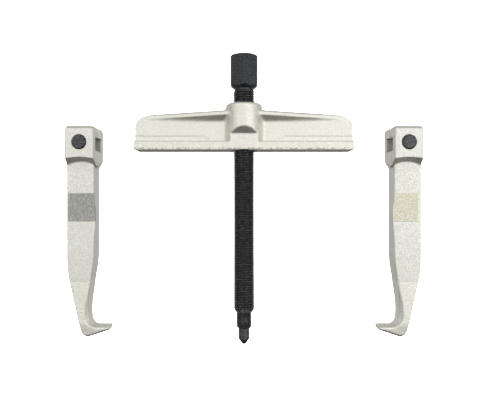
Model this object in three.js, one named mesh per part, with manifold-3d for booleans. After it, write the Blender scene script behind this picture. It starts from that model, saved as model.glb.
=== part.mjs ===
// A two-arm gear puller lying flat, in millimetres.
// +X runs along the crossbeam, +Y along the spindle towards its hexagon, +Z up through the
// thickness of the tool. The tool's middle plane is z = 0 inside the assembly group, which
// lifts it so that the arm heads rest on z = 0. Both arms are drawn off the beam's ends, in
// line with the flange that they slide on.
import * as THREE from "three";
import { mergeVertices } from "three/addons/utils/BufferGeometryUtils.js";
import Module from "manifold-3d";

// ---------- Driving dimensions ----------
const GAP = 0.3; // clearance left between neighbouring pieces
const ROUND = 40; // facets round a large turned piece
const FINE_ROUND = 24; // facets round a small turned piece

// Spindle, along Y
const SPINDLE_TOP = 118.6;
const TIP_END = -121;
const HEX_ACROSS_FLATS = 22;
const HEX_BOTTOM = 91.2;
const HEX_TOP_CHAMFER = 1.6;
const HEX_BOTTOM_CHAMFER = 2.8;
const COLLAR_RADIUS = 8.05;
const THREAD_TOP = 88.4;
const THREAD_BOTTOM = -90.9;
const THREAD_RADIUS = 9;
const THREAD_ROOT_RADIUS = 7.75;
const NECK_TOP = -94.2;
const NECK_RADIUS = 6.1;
const NECK_END = -107.3;
const NECK_END_CHAMFER = 1.1;

// Centre point and what holds it
const TIP_BORE_RADIUS = 3.3;
const TIP_BODY_RADIUS = 4.5;
const TIP_STEM_RADIUS = 2.95;
const TIP_STEM_TOP = -98.6;
const TIP_CONE_TOP = -116.4;
const TIP_BLUNT_RADIUS = 1.2;
const BALL_RADIUS = 2.9;
const RING_Y = -102.2;
const RING_RADIUS = 3.05;
const RING_WIRE_RADIUS = 0.42;
const RING_OPEN_ANGLE = 0.7;

// Crossbeam
const BEAM_HALF_LENGTH = 90;
const FLANGE_BOTTOM = 39.2;
const FLANGE_TOP = 46.8;
const FLANGE_HALF_DEPTH = 9.9;
const FLANGE_EDGE = 0.8;
const WEB_HALF_DEPTH = 3.6;
const BAND_HALF_DEPTH = 3.2;
const BAND_TOP = 51.4;
const BAND_INNER_X = 29;
const BAND_RUN_OUT = 4;
const WEB_END_TOP = 59.8;
const WEB_SHOULDER_X = 77.5;
const WEB_SHOULDER_TOP = 68.6;
const RIB_TOP = 73;
const RIB_HALF_DEPTH = 9.6;
const RIB_LOWER_EDGE = 68.6;
const RIB_ROOT = 63.1;
const BOSS_RADIUS = 15;
const BOSS_TOP = 78.3;
const BOSS_SHOULDER = 3.4;
const BOSS_WALL_X = 15.6;
const NOSE_HALF_WIDTH = 11.1;
const NOSE_HALF_DEPTH = 10.3;
const NOSE_TOP = 52.7;
const NOSE_CUT_RISE = 5.5;

// Arms: across the arm, positive is towards the spindle
const ARM_CENTRE_X = 132.4;
const HEAD_HALF_WIDTH = 11.6;
const HEAD_HALF_DEPTH = 17.5;
const HEAD_TOP = 58.6;
const HEAD_FRONT_BOTTOM = 32.8;
const HEAD_BOTTOM = 29.1;
const HEAD_CHAMFER = 2.4;
const SLOT_BOTTOM = 38.9;
const SLOT_TOP = 50;
const SLOT_HALF_DEPTH = 10.3;
const NECK_SLOT_HALF_DEPTH = 3.8;
const SHANK_HALF_DEPTH = 10;
const SHANK_OUTER = -12;
const SHANK_INNER = 10.9;
const SHANK_BEVEL = 1.2;
const HOOK_SEAT = -104.8;
const HOOK_TIP_REACH = 22;
const HOOK_TIP_BOTTOM = -108;
const HOOK_HALF_DEPTH = 9;
const HEEL_BOTTOM = -113.4;

// Sprung friction pad in the front wall of each head, measured out from the middle plane
const PLUG_Y = 45.2;
const PLUG_RADIUS = 5.75;
const PLUG_FACE = 18.7;
const PLUG_SEAT = 14.7;
const PLUG_CHAMFER = 0.7;
const PLUG_BORE_RADIUS = 2.8;
const PLUG_BORE_END = 17.2;
const PAD_FACE = 10;
const PAD_NOSE_RADIUS = 2.6;
const PAD_SHOULDER = 11.9;
const PAD_RADIUS = 3.45;
const PAD_BACK = 12.7;
const PAD_BORE_STEP = 11.6;
const PAD_BORE_RADIUS = 3.8;
const SPRING_WIRE_RADIUS = 0.3;
const SPRING_MEAN_RADIUS = 2.1;
const SPRING_TURNS = 3;

// ---------- Solids: helpers ----------
const wasm = await Module();
wasm.setup();

// A closed geometry as a manifold solid, turned the right way out.
function toSolid(geometry) {
  const bare = geometry.clone();
  bare.deleteAttribute("normal");
  bare.deleteAttribute("uv");
  const merged = mergeVertices(bare, 1e-3);
  const corners = [];
  for (let i = 0; i < merged.index.count; i += 3) {
    const [a, b, c] = [0, 1, 2].map((k) => merged.index.getX(i + k));
    if (a !== b && b !== c && c !== a) corners.push([a, b, c]);
  }
  const build = (triangles) =>
    new wasm.Manifold(
      new wasm.Mesh({
        numProp: 3,
        vertProperties: new Float32Array(merged.attributes.position.array),
        triVerts: new Uint32Array(triangles.flat()),
      }),
    );
  const made = build(corners);
  return made.volume() > 0 ? made : build(corners.map(([a, b, c]) => [a, c, b]));
}

function toGeometry(solid) {
  const mesh = solid.getMesh();
  const geometry = new THREE.BufferGeometry();
  geometry.setAttribute("position", new THREE.BufferAttribute(mesh.vertProperties, 3));
  geometry.setIndex(new THREE.BufferAttribute(mesh.triVerts, 1));
  geometry.computeVertexNormals();
  return geometry;
}

// A profile of [radius, height] pairs turned about Y.
function turned(profile, facets = ROUND) {
  return toSolid(new THREE.LatheGeometry(profile.map(([r, y]) => new THREE.Vector2(r, y)), facets));
}

// The same, with its axis along Z at a place along Y.
function turnedAlongZ(profile, y = 0) {
  const points = profile.map(([r, z]) => new THREE.Vector2(r, z));
  const geometry = new THREE.LatheGeometry(points, FINE_ROUND).rotateX(Math.PI / 2);
  return toSolid(geometry.translate(0, y, 0));
}

// An XY outline made 2 * halfDepth thick about z = 0, with its edges bevelled.
function plate(outline, halfDepth, bevel = 0) {
  const geometry = new THREE.ExtrudeGeometry(outline, {
    depth: 2 * (halfDepth - bevel),
    bevelEnabled: bevel > 0,
    bevelThickness: bevel,
    bevelSize: bevel,
    bevelOffset: -bevel,
    bevelSegments: 1,
    curveSegments: 8,
  });
  return toSolid(geometry.translate(0, 0, bevel - halfDepth));
}

// A section of [z, y] pairs run along X from one place to another, with its ends bevelled.
function bar(section, fromX, toX, bevel = 0) {
  const outline = new THREE.Shape(section.map(([z, y]) => new THREE.Vector2(-z, y)));
  const geometry = new THREE.ExtrudeGeometry(outline, {
    depth: toX - fromX - 2 * bevel,
    bevelEnabled: bevel > 0,
    bevelThickness: bevel,
    bevelSize: bevel,
    bevelOffset: -bevel,
    bevelSegments: 1,
  });
  return toSolid(geometry.rotateY(Math.PI / 2).translate(fromX + bevel, 0, 0));
}

// An [x, z] outline run along Y.
function column(outline, fromY, toY) {
  const shape = new THREE.Shape(outline.map(([x, z]) => new THREE.Vector2(x, -z)));
  const geometry = new THREE.ExtrudeGeometry(shape, { depth: toY - fromY, bevelEnabled: false });
  return toSolid(geometry.rotateX(-Math.PI / 2).translate(0, fromY, 0));
}

// A convex-capped loft through rings of the same number of points.
function loft(rings) {
  const count = rings[0].length;
  const positions = rings.flat(2);
  const triangles = [];
  for (let r = 0; r + 1 < rings.length; r++)
    for (let i = 0; i < count; i++) {
      const j = (i + 1) % count;
      const [a, b] = [r * count + i, r * count + j];
      triangles.push(a, b, b + count, a, b + count, a + count);
    }
  const last = (rings.length - 1) * count;
  for (let i = 1; i + 1 < count; i++) {
    triangles.push(0, i + 1, i);
    triangles.push(last, last + i, last + i + 1);
  }
  const geometry = new THREE.BufferGeometry();
  geometry.setAttribute("position", new THREE.Float32BufferAttribute(positions, 3));
  geometry.setIndex(triangles);
  return toSolid(geometry);
}

function mirroredPairs(half) {
  return [...half, ...half.map(([z, y]) => [-z, y]).reverse()];
}

// ---------- Materials ----------
const metal = (color, roughness, metalness = 1) =>
  new THREE.MeshStandardMaterial({ color, roughness, metalness });

const satinNickel = () => metal(0xd8d8cc, 0.42);
const blackOxide = () => metal(0x2b2c31, 0.45);
const hardenedSteel = () => metal(0x3a3b40, 0.35);
const springSteel = () => metal(0x9a9c9e, 0.35);
const brass = () => metal(0xb08d4a, 0.4);

function piece(name, solid, material) {
  const mesh = new THREE.Mesh(toGeometry(solid), material);
  mesh.name = name;
  return mesh;
}

// ---------- Crossbeam ----------
function webOutline() {
  const outline = new THREE.Shape();
  outline.moveTo(-BEAM_HALF_LENGTH, FLANGE_BOTTOM + 1);
  outline.lineTo(BEAM_HALF_LENGTH, FLANGE_BOTTOM + 1);
  outline.lineTo(BEAM_HALF_LENGTH, WEB_END_TOP);
  outline.quadraticCurveTo(
    BEAM_HALF_LENGTH - 1,
    WEB_SHOULDER_TOP - 1.5,
    WEB_SHOULDER_X,
    WEB_SHOULDER_TOP,
  );
  outline.lineTo(BOSS_RADIUS, RIB_TOP - 0.6);
  outline.lineTo(-BOSS_RADIUS, RIB_TOP - 0.6);
  outline.lineTo(-WEB_SHOULDER_X, WEB_SHOULDER_TOP);
  outline.quadraticCurveTo(
    1 - BEAM_HALF_LENGTH,
    WEB_SHOULDER_TOP - 1.5,
    -BEAM_HALF_LENGTH,
    WEB_END_TOP,
  );
  outline.closePath();
  return outline;
}

// The T's foot, which the arms slide on.
function flange() {
  const section = mirroredPairs([
    [FLANGE_HALF_DEPTH - FLANGE_EDGE, FLANGE_BOTTOM],
    [FLANGE_HALF_DEPTH, FLANGE_BOTTOM + FLANGE_EDGE],
    [FLANGE_HALF_DEPTH, FLANGE_TOP - FLANGE_EDGE / 2],
    [FLANGE_HALF_DEPTH - FLANGE_EDGE / 2, FLANGE_TOP],
  ]);
  return bar(section, -BEAM_HALF_LENGTH, BEAM_HALF_LENGTH);
}

// A shallow band milled into the web above the flange, from a beam end towards the boss.
function milledBand(end, face) {
  const near = end * BAND_INNER_X;
  const far = end * (BEAM_HALF_LENGTH + 1);
  const top = end * (BAND_INNER_X + BAND_RUN_OUT);
  const corners = [
    [near, FLANGE_TOP - FLANGE_EDGE],
    [far, FLANGE_TOP - FLANGE_EDGE],
    [far, BAND_TOP],
    [top, BAND_TOP],
  ];
  const outline = new THREE.Shape(corners.map(([x, y]) => new THREE.Vector2(x, y)));
  const geometry = new THREE.ExtrudeGeometry(outline, { depth: 1, bevelEnabled: false });
  const lift = face > 0 ? BAND_HALF_DEPTH : -BAND_HALF_DEPTH - 1;
  return toSolid(geometry.translate(0, 0, lift));
}

// The rib along the top edge thickens from the web's ends to the boss.
function topRib() {
  const section = (x, halfDepth, top, lowerEdge) =>
    mirroredPairs([
      [WEB_HALF_DEPTH - 0.2, RIB_ROOT],
      [halfDepth, lowerEdge],
      [halfDepth, top - 1.6],
      [halfDepth - 1.6, top],
    ]).map(([z, y]) => [x, y, z]);
  const end = (x) => section(x, WEB_HALF_DEPTH + 0.3, WEB_SHOULDER_TOP, RIB_ROOT + 0.4);
  return loft([
    end(-WEB_SHOULDER_X),
    section(0, RIB_HALF_DEPTH, RIB_TOP, RIB_LOWER_EDGE),
    end(WEB_SHOULDER_X),
  ]);
}

function boss() {
  const barrel = turned([
    [0, FLANGE_BOTTOM + 1],
    [BOSS_RADIUS, FLANGE_BOTTOM + 1],
    [BOSS_RADIUS, BOSS_TOP - BOSS_SHOULDER],
    [BOSS_RADIUS - 1.3, BOSS_TOP - 1],
    [BOSS_RADIUS - BOSS_SHOULDER, BOSS_TOP],
    [0, BOSS_TOP],
  ]);
  const farZ = BOSS_RADIUS + 5;
  const cutTop = NOSE_TOP + (farZ - NOSE_HALF_DEPTH) * (NOSE_CUT_RISE / (BOSS_RADIUS - NOSE_HALF_DEPTH));
  const undercut = (side) =>
    bar(
      [
        [side * NOSE_HALF_DEPTH, 0],
        [side * farZ, 0],
        [side * farZ, cutTop],
        [side * NOSE_HALF_DEPTH, NOSE_TOP],
      ],
      -2 * BOSS_RADIUS,
      2 * BOSS_RADIUS,
    );
  const walls = column(
    [
      [-BOSS_WALL_X, -WEB_HALF_DEPTH],
      [-NOSE_HALF_WIDTH, -NOSE_HALF_DEPTH],
      [NOSE_HALF_WIDTH, -NOSE_HALF_DEPTH],
      [BOSS_WALL_X, -WEB_HALF_DEPTH],
      [BOSS_WALL_X, WEB_HALF_DEPTH],
      [NOSE_HALF_WIDTH, NOSE_HALF_DEPTH],
      [-NOSE_HALF_WIDTH, NOSE_HALF_DEPTH],
      [-BOSS_WALL_X, WEB_HALF_DEPTH],
    ],
    FLANGE_BOTTOM + 1,
    RIB_LOWER_EDGE,
  );
  return barrel.subtract(undercut(1)).subtract(undercut(-1)).add(walls);
}

function crossbeam() {
  const hole = turned([
    [0, 0],
    [THREAD_RADIUS + GAP, 0],
    [THREAD_RADIUS + GAP, BOSS_TOP - 1],
    [THREAD_RADIUS + GAP + 2, BOSS_TOP + 1],
    [0, BOSS_TOP + 1],
  ]);
  let web = plate(webOutline(), WEB_HALF_DEPTH);
  for (const end of [-1, 1]) {
    web = web.subtract(milledBand(end, 1)).subtract(milledBand(end, -1));
  }
  return web.add(flange()).add(topRib()).add(boss()).subtract(hole);
}

// ---------- Spindle and centre point ----------
function spindle() {
  const ringGroove = RING_RADIUS + RING_WIRE_RADIUS + GAP;
  const boreEnd = TIP_STEM_TOP + 2 * BALL_RADIUS + 2 * GAP;
  const shaft = turned([
    [0, boreEnd],
    [TIP_BORE_RADIUS, boreEnd],
    [TIP_BORE_RADIUS, RING_Y + 0.8],
    [ringGroove, RING_Y + 0.8],
    [ringGroove, RING_Y - 0.8],
    [TIP_BORE_RADIUS, RING_Y - 0.8],
    [TIP_BORE_RADIUS, NECK_END],
    [NECK_RADIUS - NECK_END_CHAMFER, NECK_END],
    [NECK_RADIUS, NECK_END + NECK_END_CHAMFER],
    [NECK_RADIUS, NECK_TOP],
    [THREAD_ROOT_RADIUS, NECK_TOP + 1.6],
    [THREAD_RADIUS, THREAD_BOTTOM],
    [THREAD_RADIUS, THREAD_TOP],
    [COLLAR_RADIUS, THREAD_TOP + 0.8],
    [COLLAR_RADIUS, HEX_BOTTOM + 5],
    [0, HEX_BOTTOM + 5],
  ]);
  const hexRadius = HEX_ACROSS_FLATS / Math.sqrt(3);
  const hexLength = SPINDLE_TOP - HEX_BOTTOM;
  const prism = toSolid(
    new THREE.CylinderGeometry(hexRadius, hexRadius, hexLength, 6).translate(
      0,
      HEX_BOTTOM + hexLength / 2,
      0,
    ),
  );
  const chamfers = turned([
    [0, HEX_BOTTOM],
    [COLLAR_RADIUS + 1, HEX_BOTTOM],
    [hexRadius + 0.1, HEX_BOTTOM + HEX_BOTTOM_CHAMFER],
    [hexRadius + 0.1, SPINDLE_TOP - HEX_TOP_CHAMFER],
    [hexRadius - 1.7 * HEX_TOP_CHAMFER, SPINDLE_TOP],
    [0, SPINDLE_TOP],
  ]);
  return shaft.add(prism.intersect(chamfers));
}

function centrePoint() {
  const groove = RING_RADIUS - RING_WIRE_RADIUS - GAP;
  return turned(
    [
      [0, TIP_END],
      [TIP_BLUNT_RADIUS, TIP_END + 0.4],
      [TIP_BODY_RADIUS, TIP_CONE_TOP],
      [TIP_BODY_RADIUS, NECK_END - GAP],
      [TIP_STEM_RADIUS, NECK_END - GAP],
      [TIP_STEM_RADIUS, RING_Y - 0.8],
      [groove, RING_Y - 0.8],
      [groove, RING_Y + 0.8],
      [TIP_STEM_RADIUS, RING_Y + 0.8],
      [TIP_STEM_RADIUS, TIP_STEM_TOP],
      [0, TIP_STEM_TOP],
    ],
    FINE_ROUND,
  );
}

function thrustBall() {
  const centre = TIP_STEM_TOP + GAP + BALL_RADIUS;
  return toSolid(new THREE.SphereGeometry(BALL_RADIUS, 20, 12).translate(0, centre, 0));
}

// A bent wire along a circle or a coil, with a round section.
class Coil extends THREE.Curve {
  constructor(radius, turns, height, startAngle = 0) {
    super();
    Object.assign(this, { radius, turns, height, startAngle });
  }
  getPoint(t, target = new THREE.Vector3()) {
    const angle = this.startAngle + t * this.turns * 2 * Math.PI;
    return target.set(this.radius * Math.cos(angle), this.radius * Math.sin(angle), t * this.height);
  }
}

function wire(path, radius, steps) {
  const section = new THREE.Shape();
  section.absarc(0, 0, radius, 0, 2 * Math.PI, false);
  return new THREE.ExtrudeGeometry(section, { steps, curveSegments: 4, extrudePath: path });
}

function retainingRing() {
  const turns = 1 - RING_OPEN_ANGLE / (2 * Math.PI);
  const path = new Coil(RING_RADIUS, turns, 0, RING_OPEN_ANGLE / 2);
  return toSolid(wire(path, RING_WIRE_RADIUS, 24).rotateX(Math.PI / 2).translate(0, RING_Y, 0));
}

// ---------- Arms ----------
// Seen from the front, with the hook towards +X.
function shankOutline() {
  const outline = new THREE.Shape();
  outline.moveTo(SHANK_OUTER, HEAD_BOTTOM + 4);
  outline.lineTo(SHANK_OUTER, -44);
  outline.quadraticCurveTo(SHANK_OUTER, -55, -10.7, -63.9);
  outline.lineTo(-1.3, -108);
  outline.quadraticCurveTo(0.8, HEEL_BOTTOM - 0.6, 5.6, HEEL_BOTTOM + 0.1);
  outline.lineTo(HOOK_TIP_REACH - 1, HOOK_TIP_BOTTOM);
  outline.lineTo(HOOK_TIP_REACH, HOOK_TIP_BOTTOM + 1);
  outline.lineTo(HOOK_TIP_REACH, HOOK_SEAT);
  outline.lineTo(11, HOOK_SEAT);
  outline.quadraticCurveTo(7.4, HOOK_SEAT, 6.4, -98.6);
  outline.quadraticCurveTo(5.4, -89, 7.1, -79);
  outline.lineTo(8.8, -64);
  outline.quadraticCurveTo(SHANK_INNER, -52, SHANK_INNER, -42);
  outline.lineTo(SHANK_INNER, HEAD_BOTTOM + 4);
  outline.closePath();
  return outline;
}

function head() {
  const block = mirroredPairs([
    [SHANK_HALF_DEPTH, HEAD_BOTTOM],
    [HEAD_HALF_DEPTH, HEAD_FRONT_BOTTOM],
    [HEAD_HALF_DEPTH, HEAD_TOP - HEAD_CHAMFER],
    [HEAD_HALF_DEPTH - HEAD_CHAMFER, HEAD_TOP],
  ]);
  return bar(block, -HEAD_HALF_WIDTH, HEAD_HALF_WIDTH, 1);
}

function tSlot() {
  const wide = mirroredPairs([
    [SLOT_HALF_DEPTH, SLOT_BOTTOM],
    [SLOT_HALF_DEPTH, SLOT_TOP],
    [NECK_SLOT_HALF_DEPTH, SLOT_TOP],
    [NECK_SLOT_HALF_DEPTH, HEAD_TOP + 1],
  ]);
  return bar(wide, -HEAD_HALF_WIDTH - 1, HEAD_HALF_WIDTH + 1);
}

function padBore() {
  const profile = [
    [0, SLOT_HALF_DEPTH - 1],
    [PAD_NOSE_RADIUS + GAP, SLOT_HALF_DEPTH - 1],
    [PAD_NOSE_RADIUS + GAP, PAD_BORE_STEP],
    [PAD_BORE_RADIUS, PAD_BORE_STEP],
    [PAD_BORE_RADIUS, PLUG_SEAT],
    [PLUG_RADIUS + GAP, PLUG_SEAT],
    [PLUG_RADIUS + GAP, HEAD_HALF_DEPTH + 1],
    [0, HEAD_HALF_DEPTH + 1],
  ];
  return turnedAlongZ(profile, PLUG_Y);
}

// The shank thins towards the hook.
function thicknessTaper() {
  const slab = mirroredPairs([
    [HOOK_HALF_DEPTH, HEEL_BOTTOM - 1],
    [SHANK_HALF_DEPTH, -40],
    [SHANK_HALF_DEPTH, HEAD_BOTTOM + 5],
  ]);
  return bar(slab, SHANK_OUTER - 1, HOOK_TIP_REACH + 1);
}

function arm() {
  const shank = plate(shankOutline(), SHANK_HALF_DEPTH, SHANK_BEVEL).intersect(thicknessTaper());
  return shank.add(head()).subtract(tSlot()).subtract(padBore());
}

function detentPlug() {
  return turnedAlongZ([
    [0, PLUG_BORE_END],
    [PLUG_BORE_RADIUS, PLUG_BORE_END],
    [PLUG_BORE_RADIUS, PLUG_SEAT + GAP],
    [PLUG_RADIUS, PLUG_SEAT + GAP],
    [PLUG_RADIUS, PLUG_FACE - PLUG_CHAMFER],
    [PLUG_RADIUS - PLUG_CHAMFER, PLUG_FACE],
    [0, PLUG_FACE],
  ]);
}

function frictionPad() {
  return turnedAlongZ([
    [0, PAD_FACE],
    [PAD_NOSE_RADIUS - 0.4, PAD_FACE],
    [PAD_NOSE_RADIUS, PAD_FACE + 0.4],
    [PAD_NOSE_RADIUS, PAD_SHOULDER],
    [PAD_RADIUS, PAD_SHOULDER],
    [PAD_RADIUS, PAD_BACK],
    [0, PAD_BACK],
  ]);
}

function detentSpring() {
  const from = PAD_BACK + GAP + SPRING_WIRE_RADIUS;
  const to = PLUG_BORE_END - GAP - SPRING_WIRE_RADIUS;
  const path = new Coil(SPRING_MEAN_RADIUS, SPRING_TURNS, to - from);
  return toSolid(wire(path, SPRING_WIRE_RADIUS, 16 * SPRING_TURNS).translate(0, 0, from));
}

// An arm with its plug, spring and pad. The left arm's hook points to +X, and the right arm
// is its mirror image, made by turning the outline over rather than by a mirroring matrix.
function armGroup(side) {
  const group = new THREE.Group();
  group.position.x = side === "left" ? -ARM_CENTRE_X : ARM_CENTRE_X;
  const forging = piece(side + "_arm", arm(), satinNickel());
  if (side === "right") flipAcross(forging.geometry);
  const small = [
    piece(side + "_detent_plug", detentPlug(), blackOxide()),
    piece(side + "_detent_spring", detentSpring(), springSteel()),
    piece(side + "_friction_pad", frictionPad(), brass()),
  ];
  small.forEach((mesh) => mesh.position.set(0, PLUG_Y, 0));
  group.add(forging, ...small);
  return group;
}

// Mirrors a geometry in X and turns its faces back outwards.
function flipAcross(geometry) {
  geometry.scale(-1, 1, 1);
  const index = geometry.index;
  for (let i = 0; i < index.count; i += 3) {
    const [b, c] = [index.getX(i + 1), index.getX(i + 2)];
    index.setX(i + 1, c);
    index.setX(i + 2, b);
  }
  geometry.computeVertexNormals();
}

// ---------- Assembly ----------
const group = new THREE.Group();
const puller = new THREE.Group();
puller.position.z = HEAD_HALF_DEPTH;
puller.add(
  piece("crossbeam", crossbeam(), satinNickel()),
  piece("spindle", spindle(), blackOxide()),
  piece("centre_point", centrePoint(), hardenedSteel()),
  piece("thrust_ball", thrustBall(), springSteel()),
  piece("tip_retaining_ring", retainingRing(), springSteel()),
  armGroup("left"),
  armGroup("right"),
);
group.add(puller);

export default group;
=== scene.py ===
import math

import bpy
import mathutils
import numpy as np
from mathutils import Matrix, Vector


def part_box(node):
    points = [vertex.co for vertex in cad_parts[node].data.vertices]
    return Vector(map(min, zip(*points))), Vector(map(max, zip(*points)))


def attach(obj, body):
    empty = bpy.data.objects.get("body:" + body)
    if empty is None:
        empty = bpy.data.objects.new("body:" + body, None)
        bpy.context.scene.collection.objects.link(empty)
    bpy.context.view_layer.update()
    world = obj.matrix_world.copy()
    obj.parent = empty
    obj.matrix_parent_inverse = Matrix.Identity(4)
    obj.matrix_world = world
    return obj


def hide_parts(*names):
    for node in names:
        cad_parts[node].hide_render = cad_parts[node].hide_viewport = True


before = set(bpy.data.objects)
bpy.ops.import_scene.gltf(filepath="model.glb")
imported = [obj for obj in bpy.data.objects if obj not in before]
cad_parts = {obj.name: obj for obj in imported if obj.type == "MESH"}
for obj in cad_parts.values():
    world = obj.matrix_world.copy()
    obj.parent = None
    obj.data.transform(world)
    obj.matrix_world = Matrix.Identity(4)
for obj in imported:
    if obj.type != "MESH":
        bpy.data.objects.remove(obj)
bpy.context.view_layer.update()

MM = 0.001


def box_mm(node):
    """The lowest and highest corner of a CAD node, in millimetres, z from the middle plane."""
    low, high = (np.array(corner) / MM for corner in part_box(node))
    low[2] -= MIDDLE_Z
    high[2] -= MIDDLE_Z
    return low, high


# ---------- Driving dimensions: first those of the frame, then its details ----------
MIDDLE_Z = sum(corner.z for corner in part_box("left_arm")) / 2 / MM
BEAM_LOW, BEAM_HIGH = box_mm("crossbeam")
SPINDLE_LOW, SPINDLE_HIGH = box_mm("spindle")
TIP_LOW, TIP_HIGH = box_mm("centre_point")
ARM_LOW, ARM_HIGH = box_mm("left_arm")
PLUG_LOW, PLUG_HIGH = box_mm("left_detent_plug")
PAD_LOW, PAD_HIGH = box_mm("left_friction_pad")

# Crossbeam: a web between a flange and a top rib, with a boss in the middle. A shallow band
# runs along the web above the flange.
BEAM_HALF_LENGTH = BEAM_HIGH[0]
FLANGE_BOTTOM = BEAM_LOW[1]
FLANGE_TOP = FLANGE_BOTTOM + 7.6
FLANGE_HALF_DEPTH = 9.9
FLANGE_CORNER = 2.5
WEB_HALF_DEPTH = 3.6
BAND_DEPTH = 0.4
BAND_TOP = 51.4
BAND_INNER_X = 25
BAND_RUN_OUT = 9
WEB_END_TOP = 59.2
WEB_SHOULDER_X = 77.5
WEB_SHOULDER_TOP = 68.7
RIB_TOP = 73
RIB_HALF_DEPTH = 9.6
RIB_END_HALF_DEPTH = 3.6
RIB_FACE_BOTTOM = 69.3
RIB_END_BOTTOM = 65.4
RIB_ROOT = 63.1
BOSS_TOP = BEAM_HIGH[1]
BOSS_RADIUS = BEAM_HIGH[2]
BOSS_EDGE = 2.6
BOSS_WALL_X = 15.6
BOSS_HOLE_RADIUS = 9.3
BOSS_HOLE_CHAMFER = 1.5
NOSE_HALF_WIDTH = 11.1
NOSE_HALF_DEPTH = 9.9
NOSE_TOP = 52.7
NOSE_CUT_SLOPE = 1.17

# Arms: u is measured across the arm and grows towards the spindle
PLUG_Y = (PLUG_LOW[1] + PLUG_HIGH[1]) / 2
ARM_CENTRE_X = -(PLUG_LOW[0] + PLUG_HIGH[0]) / 2
HEAD_HALF_WIDTH = 11.6
HEAD_HALF_DEPTH = ARM_HIGH[2]
HEAD_TOP = ARM_HIGH[1]
HEAD_BEVEL = 2.4
HEAD_UNDERSIDE = 29.1
HEAD_UNDERSIDE_RISE = 1.8
HEAD_ARCH = (30.4, 0.024)
HEAD_ARCH_LIP = (32.9, 0.008)
SLOT_BOTTOM = 38.9
SLOT_TOP = 50
SLOT_HALF_DEPTH = 10.3
NECK_SLOT_HALF_DEPTH = 3.8
SHANK_HALF_DEPTH = 10
SHANK_OUTER = -12
SHANK_INNER = 10.2
HOOK_REACH = ARM_HIGH[0] + ARM_CENTRE_X
HOOK_SEAT = -104.8
HOOK_TIP_BOTTOM = -108
HOOK_HALF_DEPTH = 9
HEEL_BOTTOM = ARM_LOW[1]
FORGING_DRAFT = 0.01
FLASH_HEIGHT = 0.22
FLASH_SPREAD = 0.7
SWELL = 1.8
SWELL_TOP = 6
SWELL_FULL = -12
SWELL_BOTTOM = -40
SWELL_BACK_Z = -4
BEVEL_START = -24
BEVEL_RUN_OUT = 8
BEVEL_WIDENS = -66
BEVEL_FULL = -101
BEVEL_LEAST = 0.6
BEVEL_MOST = 3.6
ROUGH_TOP = 4.3
ROUGH_BOTTOM = -18.6
BLASTED_BOTTOM = -68

# Sprung friction pad
PLUG_RADIUS = (PLUG_HIGH[0] - PLUG_LOW[0]) / 2
PLUG_FACE = PLUG_HIGH[2]
PLUG_BACK = PLUG_LOW[2]
PLUG_BORE_RADIUS = 2.8
PLUG_BORE_END = 17.2
PAD_FACE = PAD_LOW[2]
PAD_BACK = PAD_HIGH[2]
PAD_RADIUS = (PAD_HIGH[0] - PAD_LOW[0]) / 2
PAD_NOSE_RADIUS = 2.6
PAD_SHOULDER = 11.9
SEAT_GAP = 0.3
PLUG_GAP = 0.1

# Spindle
SPINDLE_TOP = SPINDLE_HIGH[1]
NECK_END = SPINDLE_LOW[1]
HEX_ACROSS_FLATS = 22
HEX_BOTTOM = 91.2
HEX_TOP_CHAMFER_RADIUS = 10.2
COLLAR_RADIUS = 8.05
THREAD_TOP = 89.2
THREAD_BOTTOM = -92.6
THREAD_RADIUS = 9
THREAD_ROOT_RADIUS = 7.75
THREAD_PITCH = 2
THREAD_START_SLOPE = 0.74
THREAD_COLUMNS = 56
NECK_RADIUS = 6.1
NECK_TOP = -94.2
NECK_CHAMFER = 1.1
TIP_BORE_RADIUS = 3.3

# Centre point
TIP_END = TIP_LOW[1]
TIP_STEM_TOP = TIP_HIGH[1]
TIP_RADIUS = TIP_HIGH[0]
TIP_SHOULDER = NECK_END - SEAT_GAP
TIP_CONE_TOP = -116.4
TIP_BLUNT_RADIUS = 1.2
TIP_STEM_RADIUS = 2.95
TIP_DIMPLE_Y = -108.6
TIP_DIMPLE_RADIUS = 0.85

# Making: grid steps, the waviness of a forging, and where mirrored or turned outlines start
BEAM_STEP = 0.6
ARM_STEP = 0.55
HEX_STEP = 0.35
TIP_STEP = 0.25
PAD_STEP = 0.22
WAVINESS = 0.02
PAST_MIDDLE = -20


# ---------- Signed distances ----------
class Grid:
    """Sample places, in millimetres, a little beyond a box, ready to broadcast."""

    def __init__(self, low, high, step):
        self.step = step
        margin = 2.5 * step
        axes = [np.arange(a - margin, b + margin + step, step) for a, b in zip(low, high)]
        self.low = np.array([axis[0] for axis in axes])
        self.x = axes[0].astype(np.float32)[:, None, None]
        self.y = axes[1].astype(np.float32)[None, :, None]
        self.z = axes[2].astype(np.float32)[None, None, :]


def outline(points, a, b):
    """Distance from the places (a, b) to a closed outline of straight sides."""
    a, b = np.broadcast_arrays(a, b)
    nearest = np.full(a.shape, np.inf, np.float32)
    inside = np.zeros(a.shape, bool)
    for (a0, b0), (a1, b1) in zip(points, points[1:] + points[:1]):
        da, db = a1 - a0, b1 - b0
        along = ((a - a0) * da + (b - b0) * db) / (da * da + db * db)
        along = np.clip(along, 0, 1)
        nearest = np.minimum(nearest, (a - a0 - along * da) ** 2 + (b - b0 - along * db) ** 2)
        if db:
            inside ^= ((b0 > b) != (b1 > b)) & (a < a0 + (b - b0) * da / db)
    return np.where(inside, -1, 1) * np.sqrt(nearest)


def bend(start, control, end, steps=10):
    """Points along a quadratic curve, without its start."""
    made = []
    for i in range(1, steps + 1):
        t = i / steps
        weights = ((1 - t) ** 2, 2 * t * (1 - t), t * t)
        made.append(tuple(sum(w * p[k] for w, p in zip(weights, (start, control, end))) for k in (0, 1)))
    return made


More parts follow.
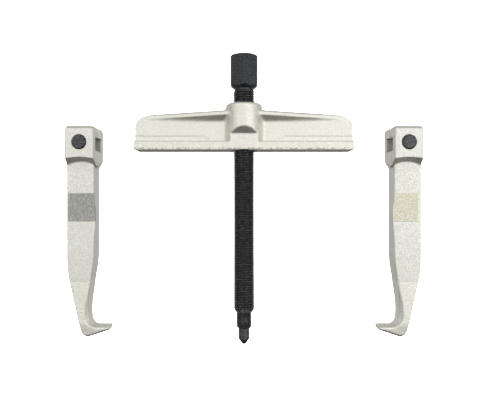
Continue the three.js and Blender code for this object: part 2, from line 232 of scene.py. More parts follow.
def rounded(distances, radius):
    """The inside of several distances at once, with the edges between them rounded."""
    deepest = distances[0]
    outer = np.maximum(distances[0] + radius, 0) ** 2
    for distance in distances[1:]:
        deepest = np.maximum(deepest, distance)
        outer = outer + np.maximum(distance + radius, 0) ** 2
    return np.minimum(deepest + radius, 0) + np.sqrt(outer) - radius


def joined(one, other, fillet):
    """Two solids as one, with a fillet where they meet."""
    near = np.maximum(fillet - np.abs(one - other), 0) / fillet
    return np.minimum(one, other) - near * near * fillet / 4


def cut(solid, tool, edge):
    """A solid less another, with the cut's edge broken."""
    return -joined(-solid, tool, edge)


def ease(value, start, end):
    """0 before start, 1 after end, and smooth between them."""
    t = np.clip((value - start) / (end - start), 0, 1)
    return t * t * (3 - 2 * t)


def mix(start, end, share):
    return start + (end - start) * share


def uneven(grid, amount):
    """The slow waviness of a forged surface."""
    x, y, z = grid.x, grid.y, grid.z
    waves = np.sin(0.41 * x + 1.3 * np.sin(0.23 * y)) * np.sin(0.37 * y + 0.29 * z)
    waves = waves + 0.6 * np.sin(0.83 * x - 0.61 * y + 0.9 * np.sin(0.52 * z))
    return amount * waves


# ---------- Meshes ----------
def surface_net(grid, field):
    """Vertices in millimetres and quads where the field crosses zero."""
    inside = field < 0
    cells = np.array(field.shape) - 1
    strides = np.array([cells[1] * cells[2], cells[2], 1])
    count = np.zeros(cells.prod())
    total = np.zeros((cells.prod(), 3))
    quads = []
    for axis in range(3):
        unit = np.eye(3, dtype=int)[axis]
        last = [slice(None, n - u) for n, u in zip(field.shape, unit)]
        crossing = inside[tuple(last)] != np.roll(inside, -1, axis)[tuple(last)]
        start = np.argwhere(crossing)
        here = field[tuple(start.T)].astype(float)
        there = field[tuple((start + unit).T)].astype(float)
        place = start + unit * (here / (here - there))[:, None]
        side, up = strides[(axis + 1) % 3], strides[(axis + 2) % 3]
        corner = start @ strides
        around = np.stack([corner, corner - side, corner - side - up, corner - up], axis=1)
        for k in range(4):
            count += np.bincount(around[:, k], minlength=len(count))
            for c in range(3):
                total[:, c] += np.bincount(around[:, k], weights=place[:, c], minlength=len(count))
        turned_over = here > 0
        around[turned_over] = around[turned_over][:, ::-1]
        quads.append(around)
    used = np.flatnonzero(count)
    number = np.full(len(count), -1)
    number[used] = np.arange(len(used))
    places = total[used] / count[used, None] * grid.step + grid.low
    return places, number[np.concatenate(quads)]


def made_object(name, places, faces, body, replaced, material, slot):
    """A piece from millimetre vertices, riding on its body in place of its CAD node."""
    mesh = bpy.data.meshes.new(name)
    places = np.clip(places, *box_mm(replaced))
    places = (places + [0, 0, MIDDLE_Z]) * MM
    mesh.from_pydata(places.tolist(), [], np.asarray(faces).tolist())
    mesh.polygons.foreach_set("use_smooth", [True] * len(mesh.polygons))
    mesh.materials.append(material)
    piece = bpy.data.objects.new(name, mesh)
    bpy.context.scene.collection.objects.link(piece)
    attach(piece, body)
    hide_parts(replaced)
    return piece


# ---------- Crossbeam ----------
def web(x, y, z):
    """The plate between the flange and the rib, a little thinner along the band."""
    start = (BEAM_HALF_LENGTH, WEB_END_TOP)
    corner = (BEAM_HALF_LENGTH - 0.9, WEB_SHOULDER_TOP - 1.3)
    shoulder = (WEB_SHOULDER_X, WEB_SHOULDER_TOP)
    side = [(PAST_MIDDLE, FLANGE_BOTTOM + 1), (BEAM_HALF_LENGTH, FLANGE_BOTTOM + 1), start]
    side += bend(start, corner, shoulder) + [(BOSS_RADIUS, RIB_TOP), (PAST_MIDDLE, RIB_TOP)]
    band_edge = mix(FLANGE_TOP - 0.5, BAND_TOP, ease(x, BAND_INNER_X, BAND_INNER_X + BAND_RUN_OUT))
    band = BAND_DEPTH * (1 - ease(y - band_edge, -0.5, 0.5))
    return rounded([outline(side, x, y), z - WEB_HALF_DEPTH + band], 0.9)


def flange(x, y, z):
    end_view = rounded([x - BEAM_HALF_LENGTH, FLANGE_BOTTOM - y], FLANGE_CORNER)
    return rounded([np.maximum(end_view, y - FLANGE_TOP), z - FLANGE_HALF_DEPTH], 0.7)


def top_rib(x, y, z):
    """The rib along the top edge, which thickens from the web's shoulders to the boss."""
    share = np.clip(1 - x / WEB_SHOULDER_X, 0, 1)
    half_depth = mix(RIB_END_HALF_DEPTH, RIB_HALF_DEPTH, share)
    top = mix(WEB_SHOULDER_TOP, RIB_TOP, share)
    face_bottom = mix(RIB_END_BOTTOM, RIB_FACE_BOTTOM, share)
    root = mix(RIB_ROOT, RIB_END_BOTTOM - 0.5, (1 - share) ** 4)
    rise = face_bottom - root
    reach = half_depth - WEB_HALF_DEPTH + 0.6
    underside = (z - WEB_HALF_DEPTH + 0.6) * rise - (y - root) * reach
    underside = underside / np.sqrt(rise * rise + reach * reach)
    section = rounded([z - half_depth, y - top], 1.9)
    section = cut(section, -underside, 0.3)
    return np.maximum(section, x - WEB_SHOULDER_X - 1)


def boss(x, y, z):
    """The threaded barrel, cut back below to a flat nose between sloping side walls."""
    radius = np.sqrt(x * x + z * z)
    barrel = rounded([radius - BOSS_RADIUS, y - BOSS_TOP], BOSS_EDGE)
    under = y - NOSE_TOP - (z - NOSE_HALF_DEPTH) * NOSE_CUT_SLOPE
    under = under / math.hypot(1, NOSE_CUT_SLOPE)
    barrel = cut(barrel, np.maximum(under, NOSE_HALF_DEPTH - z), 0.6)
    section = [
        (PAST_MIDDLE, PAST_MIDDLE),
        (BOSS_WALL_X, PAST_MIDDLE),
        (BOSS_WALL_X, WEB_HALF_DEPTH),
        (NOSE_HALF_WIDTH, NOSE_HALF_DEPTH),
        (PAST_MIDDLE, NOSE_HALF_DEPTH),
    ]
    walls = rounded([outline(section, x, z), y - RIB_FACE_BOTTOM], 0.8)
    return np.maximum(joined(walls, barrel, 0.8), FLANGE_BOTTOM + 0.6 - y)


def crossbeam():
    """The whole forging. The flange meets the boss with no fillet, as they share their faces."""
    grid = Grid(BEAM_LOW, BEAM_HIGH, BEAM_STEP)
    x, y, z = np.abs(grid.x), grid.y, np.abs(grid.z)
    plate = web(x, y, z)
    top = joined(joined(plate, top_rib(x, y, z), 1.2), boss(x, y, z), 2.4)
    foot = joined(plate, flange(x, y, z), 1.0)
    field = np.minimum(top, foot) + uneven(grid, WAVINESS)
    widening = np.maximum(y - BOSS_TOP + BOSS_HOLE_CHAMFER, 0) + np.maximum(FLANGE_BOTTOM + 1 - y, 0)
    hole = np.sqrt(x * x + z * z) - BOSS_HOLE_RADIUS - widening
    return surface_net(grid, cut(field, hole, 0.4))


# ---------- Arms ----------
def shank_outline():
    """The arm seen from the front, from inside its head round the hook."""
    outer_bend = (SHANK_OUTER, -44)
    heel = (-1.3, HEEL_BOTTOM + 5.4)
    sole = (5.6, HEEL_BOTTOM + 0.1)
    throat = (5.9, -98.6)
    inner_bend = (SHANK_INNER, -42)
    points = [(SHANK_OUTER, HEAD_UNDERSIDE + 4), outer_bend]
    points += bend(outer_bend, (SHANK_OUTER, -55), (-10.9, -63.9))
    points += [heel]
    points += bend(heel, (0.8, HEEL_BOTTOM - 0.6), sole)
    points += [
        (HOOK_REACH - 0.5, HOOK_TIP_BOTTOM),
        (HOOK_REACH, HOOK_TIP_BOTTOM + 0.5),
        (HOOK_REACH, HOOK_SEAT),
        (11, HOOK_SEAT),
    ]
    points += bend((11, HOOK_SEAT), (7.4, HOOK_SEAT), throat)
    points += bend(throat, (4.7, -89), (6.1, -79))
    points += [(7.9, -64)]
    points += bend((7.9, -64), (SHANK_INNER, -52), inner_bend)
    return points + [(SHANK_INNER, HEAD_UNDERSIDE + 4)]


def shank(u, y, z):
    """The forged bar: its inner side swells at the front by the rough band, and is bevelled below."""
    swell = SWELL * ease(-y, -SWELL_TOP, -SWELL_FULL) * ease(y, SWELL_BOTTOM, SWELL_FULL)
    swell = swell * ease(z, SWELL_BACK_Z, SHANK_HALF_DEPTH) * ease(u, 0, 4)
    side = outline(shank_outline(), u, y) - swell
    depth = np.abs(z)
    half_depth = mix(HOOK_HALF_DEPTH, SHANK_HALF_DEPTH, np.clip((y - HEEL_BOTTOM) / 70, 0, 1))
    half_depth = half_depth - 1.2 * ease(-y, -BEVEL_FULL, -HEEL_BOTTOM)
    solid = rounded([side + FORGING_DRAFT * depth, depth - half_depth], 0.8)
    flash = FLASH_HEIGHT * np.exp(-((depth / FLASH_SPREAD) ** 2))
    width = BEVEL_LEAST * ease(-y, -BEVEL_START, BEVEL_RUN_OUT - BEVEL_START)
    width = width + (BEVEL_MOST - BEVEL_LEAST) * ease(-y, -BEVEL_WIDENS, -BEVEL_FULL)
    width = width * ease(u, 0, 3) * mix(0.4, 1, ease(y, HOOK_SEAT - 1, HOOK_SEAT + 5))
    bevel = (side + depth - half_depth + width) * math.sqrt(0.5)
    return cut(solid, -bevel, 0.3) - flash


def head_underside(u, z):
    """The height of the head's sloping underside: arched on the front and straight on the back."""
    rise = np.maximum(np.abs(z) - SHANK_HALF_DEPTH, 0) / (HEAD_HALF_DEPTH - SHANK_HALF_DEPTH)
    arch = HEAD_ARCH[0] - HEAD_ARCH[1] * u * u
    lip = HEAD_ARCH_LIP[0] - HEAD_ARCH_LIP[1] * u * u
    return np.where(z > 0, mix(arch, lip, rise), HEAD_UNDERSIDE + HEAD_UNDERSIDE_RISE * rise)


def head(u, y, z):
    underside = head_underside(u, z) - y
    depth = np.abs(z)
    bevel = (depth + y - HEAD_HALF_DEPTH - HEAD_TOP + HEAD_BEVEL) * math.sqrt(0.5)
    front = rounded([np.abs(u) - HEAD_HALF_WIDTH, y - HEAD_TOP], 2.0)
    block = rounded([front, np.maximum(depth - HEAD_HALF_DEPTH, bevel)], 1.3)
    return -joined(-block, -underside, 0.6)


def t_slot(y, z):
    """The slot through the head: wide for the flange and narrow above it for the web."""
    height = np.abs(y - (SLOT_BOTTOM + SLOT_TOP) / 2) - (SLOT_TOP - SLOT_BOTTOM) / 2
    wide = rounded([height, z - SLOT_HALF_DEPTH], 0.8)
    narrow = np.maximum(z - NECK_SLOT_HALF_DEPTH, SLOT_TOP - 2 - y)
    return np.minimum(wide, narrow)


def pad_bore(u, y, z):
    """The stepped hole in the front of the head: for the plug, the spring and the pad's nose."""
    radius = np.sqrt(u * u + (y - PLUG_Y) ** 2)
    seat = np.maximum(radius - PLUG_RADIUS - PLUG_GAP, PLUG_BACK - SEAT_GAP - z)
    spring = np.maximum(radius - PAD_RADIUS - SEAT_GAP, PAD_SHOULDER - SEAT_GAP - z)
    nose = np.maximum(radius - PAD_NOSE_RADIUS - SEAT_GAP, SLOT_HALF_DEPTH - 1 - z)
    return np.minimum(np.minimum(seat, spring), nose)


def left_arm():
    grid = Grid(ARM_LOW, ARM_HIGH, ARM_STEP)
    u, y, z = grid.x + np.float32(ARM_CENTRE_X), grid.y, np.abs(grid.z)
    fillet = mix(5.0, 1.2, ease(grid.z, 7, 10))
    field = joined(shank(u, y, grid.z), head(u, y, grid.z), fillet) + uneven(grid, WAVINESS)
    field = cut(field, t_slot(y, z), 0.5)
    field = cut(field, pad_bore(u, y, grid.z), 0.15)
    return surface_net(grid, field)


# ---------- Spindle ----------
def hexagon_and_collar():
    reach = HEX_ACROSS_FLATS / 2 + 3
    grid = Grid([-reach, THREAD_TOP - 0.5, -reach], [reach, SPINDLE_TOP, reach], HEX_STEP)
    x, y, z = grid.x, grid.y, grid.z
    radius = np.sqrt(x * x + z * z)
    flats = [
        np.abs(x * math.cos(a) + z * math.sin(a)) - HEX_ACROSS_FLATS / 2
        for a in (0, math.pi / 3, 2 * math.pi / 3)
    ]
    prism = rounded(flats, 0.35)
    slope = math.radians(30)
    top = y - SPINDLE_TOP + (radius - HEX_TOP_CHAMFER_RADIUS) * math.tan(slope)
    top = top * math.cos(slope)
    bottom = (HEX_BOTTOM + (radius - COLLAR_RADIUS - 1) * 0.75 - y) * 0.8
    ends = [np.maximum(y - SPINDLE_TOP, top), np.maximum(HEX_BOTTOM - y, bottom)]
    chamfered = rounded([prism] + ends, 0.3)
    collar = np.maximum(radius - COLLAR_RADIUS, np.maximum(THREAD_TOP - 0.3 - y, y - HEX_BOTTOM - 2))
    return surface_net(grid, joined(chamfered, collar, 0.8))


def thread_radius(angle, y):
    """The radius of a right-hand 60 degree thread, with its start and its run-out."""
    phase = (y / THREAD_PITCH - angle / (2 * math.pi)) % 1
    from_root = np.abs(phase - 0.5) * 2
    depth = np.clip((from_root - 0.22) / 0.66, 0, 1)
    profile = mix(THREAD_ROOT_RADIUS, THREAD_RADIUS, depth)
    start = THREAD_ROOT_RADIUS + (y - THREAD_BOTTOM) * THREAD_START_SLOPE
    run_out = COLLAR_RADIUS - np.maximum(THREAD_TOP - y, 0)
    lowest = np.maximum(THREAD_ROOT_RADIUS, run_out)
    highest = np.minimum(start, COLLAR_RADIUS + (THREAD_TOP - y) * 1.2)
    return np.clip(profile, lowest, np.maximum(highest, THREAD_ROOT_RADIUS))


def threaded_bar():
    """The thread as rows that follow its helix, closed by the neck below and a plug above."""
    columns = THREAD_COLUMNS
    angles = np.arange(columns) * 2 * math.pi / columns
    steps = [0, 0.11, 0.33, 0.44, 0.5, 0.56, 0.67, 0.89]
    first_turn = math.floor(THREAD_BOTTOM / THREAD_PITCH) - 2
    last_turn = math.ceil(THREAD_TOP / THREAD_PITCH)
    rows = []
    neck = [
        (TIP_BORE_RADIUS, NECK_END + 10),
        (TIP_BORE_RADIUS, NECK_END),
        (NECK_RADIUS - NECK_CHAMFER, NECK_END),
        (NECK_RADIUS - NECK_CHAMFER / 2, NECK_END + NECK_CHAMFER / 2),
        (NECK_RADIUS, NECK_END + NECK_CHAMFER),
        (NECK_RADIUS, (NECK_END + NECK_TOP) / 2),
        (NECK_RADIUS, NECK_TOP - 0.5),
        (NECK_RADIUS + 0.3, NECK_TOP),
    ]
    for radius, y in neck:
        rows.append((np.full(columns, radius), np.full(columns, y)))
    for turn in range(first_turn, last_turn + 1):
        for step in steps:
            y = THREAD_PITCH * (turn + step + angles / (2 * math.pi))
            y = np.clip(y, THREAD_BOTTOM, THREAD_TOP)
            rows.append((thread_radius(angles, y), y))
    rows.append((np.full(columns, COLLAR_RADIUS - 0.3), np.full(columns, THREAD_TOP + 0.6)))
    places = np.array([
        np.stack([r * np.sin(angles), y, r * np.cos(angles)], axis=1) for r, y in rows
    ]).reshape(-1, 3)
    faces = []
    for row in range(len(rows) - 1):
        for column in range(columns):
            right = (column + 1) % columns
            a, b = row * columns + column, row * columns + right
            faces.append([a, b, b + columns, a + columns])
    return places, faces


def spindle():
    """The threaded bar and its hexagon, as one mesh of two closed shells."""
    bar_places, bar_faces = threaded_bar()
    top_places, top_faces = hexagon_and_collar()
    places = np.concatenate([bar_places, top_places])
    return places, bar_faces + (top_faces + len(bar_places)).tolist()


def centre_point():
    grid = Grid(TIP_LOW, TIP_HIGH, TIP_STEP)
    x, y, z = grid.x, grid.y, grid.z
    radius = np.sqrt(x * x + z * z)
    profile = [
        (PAST_MIDDLE, TIP_END),
        (0, TIP_END),
        (TIP_BLUNT_RADIUS, TIP_END + 0.4),
        (TIP_RADIUS, TIP_CONE_TOP),
        (TIP_RADIUS, TIP_SHOULDER),
        (TIP_STEM_RADIUS, TIP_SHOULDER),
        (TIP_STEM_RADIUS, TIP_STEM_TOP),
        (PAST_MIDDLE, TIP_STEM_TOP),
    ]
    dimple = np.sqrt(x * x + (y - TIP_DIMPLE_Y) ** 2) - TIP_DIMPLE_RADIUS
    dimple = np.maximum(dimple, TIP_RADIUS - 1 - z)
    return surface_net(grid, cut(outline(profile, radius, y), dimple, 0.2))


# ---------- Sprung pads and their plugs ----------
def turned_along_z(low, high, profile):
    """A closed profile of (radius, z) corners turned about the axis through the plug."""
    grid = Grid(low, high, PAD_STEP)
    radius = np.sqrt((grid.x + np.float32(ARM_CENTRE_X)) ** 2 + (grid.y - PLUG_Y) ** 2)
    return surface_net(grid, outline(profile, radius, grid.z))


def left_plug():
    profile = [
        (0, PLUG_BORE_END),
        (PLUG_BORE_RADIUS, PLUG_BORE_END),
        (PLUG_BORE_RADIUS, PLUG_BACK),
        (PLUG_RADIUS, PLUG_BACK),
        (PLUG_RADIUS, PLUG_FACE - 0.8),
        (PLUG_RADIUS - 0.8, PLUG_FACE),
        (PAST_MIDDLE, PLUG_FACE),
        (PAST_MIDDLE, PLUG_BORE_END),
    ]
    return turned_along_z(PLUG_LOW, PLUG_HIGH, profile)


def left_pad():
    profile = [
        (PAST_MIDDLE, PAD_FACE),
        (PAD_NOSE_RADIUS - 0.4, PAD_FACE),
        (PAD_NOSE_RADIUS, PAD_FACE + 0.4),
        (PAD_NOSE_RADIUS, PAD_SHOULDER),
        (PAD_RADIUS, PAD_SHOULDER),
        (PAD_RADIUS, PAD_BACK),
        (PAST_MIDDLE, PAD_BACK),
    ]
    return turned_along_z(PAD_LOW, PAD_HIGH, profile)


def other_side(places, faces):
    """The mirror image of a left-hand mesh."""
    return places * [-1, 1, 1], np.asarray(faces)[:, ::-1]


# ---------- Materials ----------
MAP_RANGE_SOCKETS = ("From Min", "From Max", "To Min", "To Max")


class Shader:
    """A metal material, with short calls for the nodes that its colour and bump come from."""

    def __init__(self, name, color, roughness, metallic=1.0):
        self.material = bpy.data.materials.new(name)
        self.material.use_nodes = True
        self.nodes = self.material.node_tree.nodes
        self.metal = self.nodes["Principled BSDF"]
        self.metal.inputs["Base Color"].default_value = (*color, 1)
        self.metal.inputs["Roughness"].default_value = roughness
        self.metal.inputs["Metallic"].default_value = metallic
        self.place = self.nodes.new("ShaderNodeTexCoord").outputs["Object"]

    def link(self, source, node, socket):
        self.material.node_tree.links.new(source, node.inputs[socket])

    def noise(self, size_mm, detail=2.0, stretch=None):
        """Noise whose blobs are about this many millimetres across."""
        node = self.nodes.new("ShaderNodeTexNoise")
        node.inputs["Scale"].default_value = 1 / (size_mm * MM)
        node.inputs["Detail"].default_value = detail
        place = self.place
        if stretch:
            mapping = self.nodes.new("ShaderNodeMapping")
            mapping.inputs["Scale"].default_value = stretch
            self.link(place, mapping, "Vector")
            place = mapping.outputs["Vector"]
        self.link(place, node, "Vector")
        return node.outputs["Fac"]

    def spread(self, value, low, high, to_low=0.0, to_high=1.0):
        """A value carried from one range to another, and held at its ends."""
        node = self.nodes.new("ShaderNodeMapRange")
        node.interpolation_type = "SMOOTHSTEP"
        self.link(value, node, "Value")
        for socket, number in zip(MAP_RANGE_SOCKETS, (low, high, to_low, to_high)):
            node.inputs[socket].default_value = number
        return node.outputs["Result"]

    def combined(self, one, other, operation="ADD"):
        """Two values, or a value and a number, as one."""
        node = self.nodes.new("ShaderNodeMath")
        node.operation = operation
        for k, value in enumerate((one, other)):
            if isinstance(value, (int, float)):
                node.inputs[k].default_value = value
            else:
                self.link(value, node, k)
        return node.outputs[0]

    def tint(self, share, one, other):
        """One colour where share is 0 and the other where it is 1."""
        node = self.nodes.new("ShaderNodeMix")
        node.data_type = "RGBA"
        self.link(share, node, 0)
        for socket, value in ((6, one), (7, other)):
            if isinstance(value, tuple):
                node.inputs[socket].default_value = (*value, 1)
            else:
                self.link(value, node, socket)
        return node.outputs[2]

    def axis(self, name):
        """A coordinate of the surface, in metres."""
        node = self.nodes.new("ShaderNodeSeparateXYZ")
        self.link(self.place, node, "Vector")
        return node.outputs[name]

    def normal(self, name):
        """How far the surface faces along an axis, from -1 to 1."""
        node = self.nodes.new("ShaderNodeSeparateXYZ")
        self.link(self.nodes.new("ShaderNodeTexCoord").outputs["Normal"], node, "Vector")
        return node.outputs[name]

    def edges(self, low=0.5, high=0.6):
        """1 on raised edges and 0 elsewhere."""
        node = self.nodes.new("ShaderNodeNewGeometry")
        return self.spread(node.outputs["Pointiness"], low, high)

    def hollows(self, low=0.44, high=0.5):
        """1 in creases and 0 elsewhere."""
        node = self.nodes.new("ShaderNodeNewGeometry")
        return self.spread(node.outputs["Pointiness"], low, high, 1.0, 0.0)

    def bump(self, height, depth_mm, strength=1.0):
        node = self.nodes.new("ShaderNodeBump")
        node.inputs["Strength"].default_value = strength
        node.inputs["Distance"].default_value = depth_mm * MM
        self.link(height, node, "Height")
        self.link(node.outputs["Normal"], self.metal, "Normal")

    def finish(self, color=None, roughness=None):
        if color is not None:
            self.link(color, self.metal, "Base Color")
        if roughness is not None:
            self.link(roughness, self.metal, "Roughness")
        return self.material


BEAM_NICKEL = (0.79, 0.785, 0.715)
ARM_NICKEL = (0.84, 0.83, 0.755)
NICKEL_SHADED = (0.72, 0.71, 0.645)
NICKEL_PAINTED_SHADE = (0.46, 0.455, 0.39)
NICKEL_WEAR_AND_HIGHLIGHT = (0.88, 0.87, 0.82)
NICKEL_BLASTED = (0.69, 0.68, 0.63)
# Real grime for the specks along the flange, and painted shade in the creases
GRIME_AND_CREASE_SHADE = (0.42, 0.41, 0.35)
# How far out from its arm's middle each rough band reaches, in mm, and its two colours
LEFT_ROUGH = (10.9, (0.30, 0.30, 0.275), (0.49, 0.485, 0.455))
RIGHT_ROUGH = (9.2, (0.60, 0.58, 0.47), (0.78, 0.76, 0.64))
OXIDE_DARK = (0.026, 0.027, 0.031)
SPINDLE_OXIDE_LIGHT = (0.038, 0.039, 0.043)
PLUG_OXIDE_LIGHT = (0.068, 0.07, 0.075)
OXIDE_SCUFFED = (0.17, 0.17, 0.175)


def nickel_base(name, nickel):
    """Satin nickel over a blasted forging: mottled, with wear and a painted highlight on its edges, and
    painted shade on its undersides and in its creases.
    """
    shader = Shader(name, nickel, 0.5)
    mottle = shader.spread(shader.noise(1.4, 4.0), 0.35, 0.68)
    color = shader.tint(mottle, nickel, NICKEL_SHADED)
    # Painted shade on the downward-facing faces above the hooks (rib underside, nose cut, head
    # undersides); flat bottoms are left out.
    facing = shader.normal("Y")
    painted_underside_shade = shader.combined(
        shader.spread(facing, -0.8, -0.45, 1.0, 0.0),
        shader.spread(facing, -0.995, -0.97),
        "MULTIPLY",
    )
    above_the_hooks = shader.spread(shader.axis("Y"), 0, 10 * MM)
    painted_underside_shade = shader.combined(painted_underside_shade, above_the_hooks, "MULTIPLY")
    color = shader.tint(painted_underside_shade, color, NICKEL_PAINTED_SHADE)
    # Edges lightened: partly wear, partly a painted highlight.
    color = shader.tint(shader.edges(0.52, 0.62), color, NICKEL_WEAR_AND_HIGHLIGHT)
    # Painted shade in the creases.
    color = shader.tint(shader.hollows(0.2, 0.4), color, GRIME_AND_CREASE_SHADE)
    return shader, color


def beam_nickel():
    """The crossbeam's nickel, with dull specks along the flange's lower edge."""
    shader, color = nickel_base("satin_nickel_beam", BEAM_NICKEL)
    y = shader.axis("Y")
    line = shader.combined(
        shader.spread(y, (FLANGE_BOTTOM + 0.4) * MM, (FLANGE_BOTTOM + 1.2) * MM),
        shader.spread(y, (FLANGE_BOTTOM + 1.4) * MM, (FLANGE_BOTTOM + 2.8) * MM, 1.0, 0.0),
        "MULTIPLY",
    )
    specks = shader.combined(line, shader.spread(shader.noise(1.8, 4.0), 0.42, 0.6), "MULTIPLY")
    color = shader.tint(specks, color, GRIME_AND_CREASE_SHADE)
    grain = shader.combined(shader.noise(0.5), shader.noise(2.2, 3.0))
    shader.bump(grain, 0.10)
    return shader.finish(color, shader.spread(shader.noise(1.6, 3.0), 0.3, 0.7, 0.48, 0.62))


def painted_slot_shade_mask(shader, outwards):
    """1 on the walls of an arm's T-slot, where shade is painted."""
    y, z = shader.axis("Y"), shader.axis("Z")
    depth = shader.combined(shader.combined(z, -MIDDLE_Z * MM), 1.0, "ABSOLUTE")
    limits = (
        (shader.combined(y, -SLOT_BOTTOM * MM), 0.0, -0.4),
        (shader.combined(y, -SLOT_TOP * MM), 0.2, 0.6),
        (depth, SLOT_HALF_DEPTH, SLOT_HALF_DEPTH + 0.3),
        (shader.combined(outwards, 1.0, "ABSOLUTE"), HEAD_HALF_WIDTH - 0.6, HEAD_HALF_WIDTH - 0.3),
    )
    share = 1.0
    for value, full, none in limits:
        low, high = sorted((full, none))
        ends = (1.0, 0.0) if full < none else (0.0, 1.0)
        share = shader.combined(shader.spread(value, low * MM, high * MM, *ends), share, "MULTIPLY")
    return share


def arm_nickel(name, rough_edge, rough_dark, rough_light):
    """The arms' nickel, blasted above the hooks, with a rough band across the front."""
    shader, color = nickel_base(name, ARM_NICKEL)
    y, z = shader.axis("Y"), shader.axis("Z")
    speckle = shader.spread(shader.noise(0.8, 2.0), 0.38, 0.62)
    blasted = shader.spread(y, BLASTED_BOTTOM * MM, (BLASTED_BOTTOM + 0.8) * MM)
    color = shader.tint(shader.combined(blasted, speckle, "MULTIPLY"), color, NICKEL_BLASTED)
    edge = shader.combined(y, shader.combined(shader.noise(1.2), 0.0006, "MULTIPLY"))
    front_z = MIDDLE_Z + SHANK_HALF_DEPTH
    front = shader.spread(z, (front_z - 1.2) * MM, (front_z - 0.5) * MM)
    inside = shader.combined(
        shader.spread(edge, ROUGH_BOTTOM * MM, (ROUGH_BOTTOM + 0.5) * MM),
        shader.spread(edge, ROUGH_TOP * MM, (ROUGH_TOP + 0.5) * MM, 1.0, 0.0),
        "MULTIPLY",
    )
    outwards = shader.combined(shader.combined(shader.axis("X"), 1.0, "ABSOLUTE"), -ARM_CENTRE_X * MM)
    across = shader.spread(outwards, (rough_edge - 0.3) * MM, (rough_edge + 0.1) * MM, 1.0, 0.0)
    rough = shader.combined(shader.combined(inside, front, "MULTIPLY"), across, "MULTIPLY")
    color = shader.tint(rough, color, shader.tint(speckle, rough_dark, rough_light))
    # Painted shade on the walls inside the T-slot.
    color = shader.tint(painted_slot_shade_mask(shader, outwards), color, NICKEL_PAINTED_SHADE)
    grain = shader.combined(shader.noise(0.5), shader.noise(1.8, 3.0))
    coarseness = shader.combined(shader.combined(blasted, 0.6, "MULTIPLY"), shader.combined(rough, 0.4))
    shader.bump(shader.combined(grain, coarseness, "MULTIPLY"), 0.12)
    return shader.finish(color, shader.spread(shader.noise(1.6, 3.0), 0.3, 0.7, 0.5, 0.66))


def black_oxide(name, mottle_mm, low, high):
    """Oiled black oxide, worn grey along its edges."""
    shader = Shader(name, low, 0.3, 0.85)
    color = shader.tint(shader.spread(shader.noise(mottle_mm, 3.0), 0.36, 0.64), low, high)
    rubbed = shader.spread(shader.noise(1.5, 3.0), 0.35, 0.6)
    scuffs = shader.combined(shader.edges(0.515, 0.62), rubbed, "MULTIPLY")
    color = shader.tint(scuffs, color, OXIDE_SCUFFED)
    shader.bump(shader.noise(0.7, 3.0), 0.02)
    return shader.finish(color, shader.spread(shader.noise(1.2, 3.0), 0.3, 0.7, 0.2, 0.34))


def hardened_steel():
    shader = Shader("hardened_steel_ground", (0.06, 0.06, 0.068), 0.3, 0.9)
    heat = shader.spread(shader.noise(2.5, 3.0), 0.4, 0.65)
    color = shader.tint(heat, (0.04, 0.041, 0.047), (0.085, 0.083, 0.088))
    color = shader.tint(shader.edges(0.53, 0.62), color, (0.3, 0.3, 0.31))
    shader.bump(shader.noise(0.3, 2.0, (1, 12, 1)), 0.012)
    return shader.finish(color, shader.spread(shader.noise(1, 3.0), 0.3, 0.7, 0.24, 0.4))


def bearing_steel():
    shader = Shader("bearing_steel_polished", (0.5, 0.5, 0.5), 0.18)
    dulled = shader.spread(shader.noise(0.8, 3.0), 0.4, 0.7)
    color = shader.tint(dulled, (0.56, 0.56, 0.56), (0.4, 0.4, 0.41))
    shader.bump(shader.noise(0.2), 0.004)
    return shader.finish(color, shader.spread(shader.noise(0.6, 3.0), 0.3, 0.7, 0.12, 0.26))


def machined_brass():
    shader = Shader("machined_brass", (0.62, 0.46, 0.2), 0.3)
    tarnish = shader.spread(shader.noise(1.2, 3.0), 0.35, 0.7)
    color = shader.tint(tarnish, (0.66, 0.5, 0.24), (0.5, 0.35, 0.15))
    shader.bump(shader.noise(0.25, 2.0, (1, 1, 8)), 0.01)
    return shader.finish(color, shader.spread(shader.noise(0.7, 3.0), 0.3, 0.7, 0.24, 0.42))


# ---------- Studio ----------
CAMERA_PLACE = (-0.0033, -0.0042, 0.5015)
CAMERA_LENS = 43.7
CAMERA_SENSOR = 36
FLOOR_SIZE = 3.0
FLOOR_DROP = 0.0002
WALL_HEIGHT = 2.5
FLOOR_GLOW = 1.0


def camera():
    """It looks straight down on the tool, as a new camera does."""
    made = bpy.data.objects.new("camera", bpy.data.cameras.new("camera"))
    made.location = CAMERA_PLACE
    made.data.lens = CAMERA_LENS
    made.data.sensor_width = CAMERA_SENSOR
    made.data.clip_start = 0.01
    bpy.context.scene.collection.objects.link(made)
    bpy.context.scene.camera = made


def pale_floor():
    """A white table and walls as bright as paper. The metal reflects the sky instead of them."""
    half = FLOOR_SIZE / 2
    corners = [(-half, -half), (half, -half), (half, half), (-half, half)]
    places = [(x, y, z) for z in (0, WALL_HEIGHT) for x, y in corners]
    walls = [(k, (k + 1) % 4, (k + 1) % 4 + 4, k + 4) for k in range(4)]
    mesh = bpy.data.meshes.new("floor")
    mesh.from_pydata(places, [], [(0, 1, 2, 3)] + walls)
    floor = bpy.data.objects.new("floor", mesh)
    bpy.context.scene.collection.objects.link(floor)
    floor.location.z = -FLOOR_DROP
    material = bpy.data.materials.new("pale_floor")
    material.use_nodes = True
    surface = material.node_tree.nodes["Principled BSDF"]
    surface.inputs["Base Color"].default_value = (0.9, 0.9, 0.9, 1)
    surface.inputs["Roughness"].default_value = 0.9
    surface.inputs["Emission Color"].default_value = (1, 1, 1, 1)
    surface.inputs["Emission Strength"].default_value = FLOOR_GLOW
    mesh.materials.append(material)
    floor.visible_glossy = False
    floor.visible_shadow = False


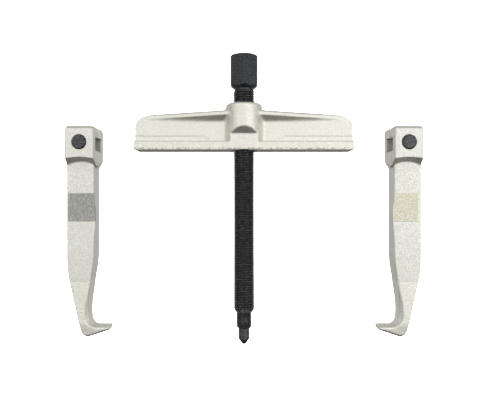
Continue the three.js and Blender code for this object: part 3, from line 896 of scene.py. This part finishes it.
def soft_light(name, place, size, power, aim=(0, 0, 0)):
    light = bpy.data.objects.new(name, bpy.data.lights.new(name, "AREA"))
    light.data.shape = "RECTANGLE"
    light.data.size, light.data.size_y = size
    light.data.energy = power
    light.location = place
    direction = mathutils.Vector(aim) - light.location
    light.rotation_euler = direction.to_track_quat("-Z", "Y").to_euler()
    bpy.context.scene.collection.objects.link(light)


# Brightness of the sky's parts; the gap is a factor along the middle
SKY_ZENITH = 1.5
SKY_LEFT = 0.26
SKY_RIGHT = 0.44
SKY_BACK = 0.40
SKY_TABLE = 0.74
SKY_GAP = 0.64
SKY_SHADE = 0.04


def studio_sky():
    """A white ceiling and table between grey walls, the left one darker, and a dark screen at the
    tip's end."""
    world = bpy.data.worlds.new("studio")
    bpy.context.scene.world = world
    world.use_nodes = True
    tree = world.node_tree
    place = tree.nodes.new("ShaderNodeTexCoord").outputs["Generated"]
    split = tree.nodes.new("ShaderNodeSeparateXYZ")
    tree.links.new(place, split.inputs[0])

    def carried(value, from_low, from_high, low, high):
        node = tree.nodes.new("ShaderNodeMapRange")
        node.interpolation_type = "SMOOTHSTEP"
        tree.links.new(value, node.inputs["Value"])
        for socket, number in zip(MAP_RANGE_SOCKETS, (from_low, from_high, low, high)):
            if isinstance(number, (int, float)):
                node.inputs[socket].default_value = number
            else:
                tree.links.new(number, node.inputs[socket])
        return node.outputs["Result"]

    sides = carried(split.outputs["X"], -0.7, 0.5, SKY_LEFT, SKY_RIGHT)
    walls = carried(split.outputs["Y"], 0, 0.9, sides, SKY_BACK)
    below = carried(split.outputs["Z"], -0.6, -0.1, SKY_TABLE, walls)
    ceiling = carried(split.outputs["Z"], 0.1, 0.85, below, SKY_ZENITH)
    shaded = carried(split.outputs["Y"], -0.8, -0.06, SKY_SHADE, ceiling)
    size = tree.nodes.new("ShaderNodeMath")
    size.operation = "ABSOLUTE"
    tree.links.new(split.outputs["X"], size.inputs[0])
    gap = carried(size.outputs[0], 0.12, 0.34, SKY_GAP, 1)
    sky = tree.nodes.new("ShaderNodeMath")
    sky.operation = "MULTIPLY"
    tree.links.new(shaded, sky.inputs[0])
    tree.links.new(gap, sky.inputs[1])
    background = tree.nodes["Background"]
    background.inputs["Color"].default_value = (1, 1, 1, 1)
    tree.links.new(sky.outputs[0], background.inputs["Strength"])


# ---------- Making ----------
def main():
    bpy.context.scene.view_settings.view_transform = "Standard"
    camera()
    pale_floor()
    studio_sky()
    soft_light("light_right", (0.62, 0.05, 0.66), (0.35, 0.9), 1.0)
    soft_light("light_left", (-0.80, 0.05, 0.45), (0.3, 0.9), 0.25)

    oxide = black_oxide("black_oxide_spindle", 1.4, OXIDE_DARK, SPINDLE_OXIDE_LIGHT)
    plug_oxide = black_oxide("black_oxide_plug", 0.9, OXIDE_DARK, PLUG_OXIDE_LIGHT)
    brass = machined_brass()
    polished = bearing_steel()
    hardened = hardened_steel()
    made_object("forged_crossbeam", *crossbeam(), "beam", "crossbeam", beam_nickel(), "satin_nickel")
    made_object("turned_spindle", *spindle(), "spindle", "spindle", oxide, "black_oxide")
    made_object("ground_centre_point", *centre_point(), "tip", "centre_point", hardened, "hardened_steel")
    arm, plug, pad = left_arm(), left_plug(), left_pad()
    for side, rough_band in (("left", LEFT_ROUGH), ("right", RIGHT_ROUGH)):
        if side == "right":
            arm, plug, pad = (other_side(*shape) for shape in (arm, plug, pad))
        body = side + "_arm"
        metal = arm_nickel("satin_nickel_" + body, *rough_band)
        made_object("forged_" + body, *arm, body, body, metal, "satin_nickel")
        node = side + "_detent_plug"
        made_object("pressed_" + side + "_plug", *plug, body, node, plug_oxide, "black_oxide")
        made_object("turned_" + side + "_pad", *pad, side + "_pad", side + "_friction_pad", brass, "brass")
    for node in ("thrust_ball", "tip_retaining_ring", "left_detent_spring", "right_detent_spring"):
        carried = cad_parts[node]
        carried.data.materials.clear()
        carried.data.materials.append(polished)


main()
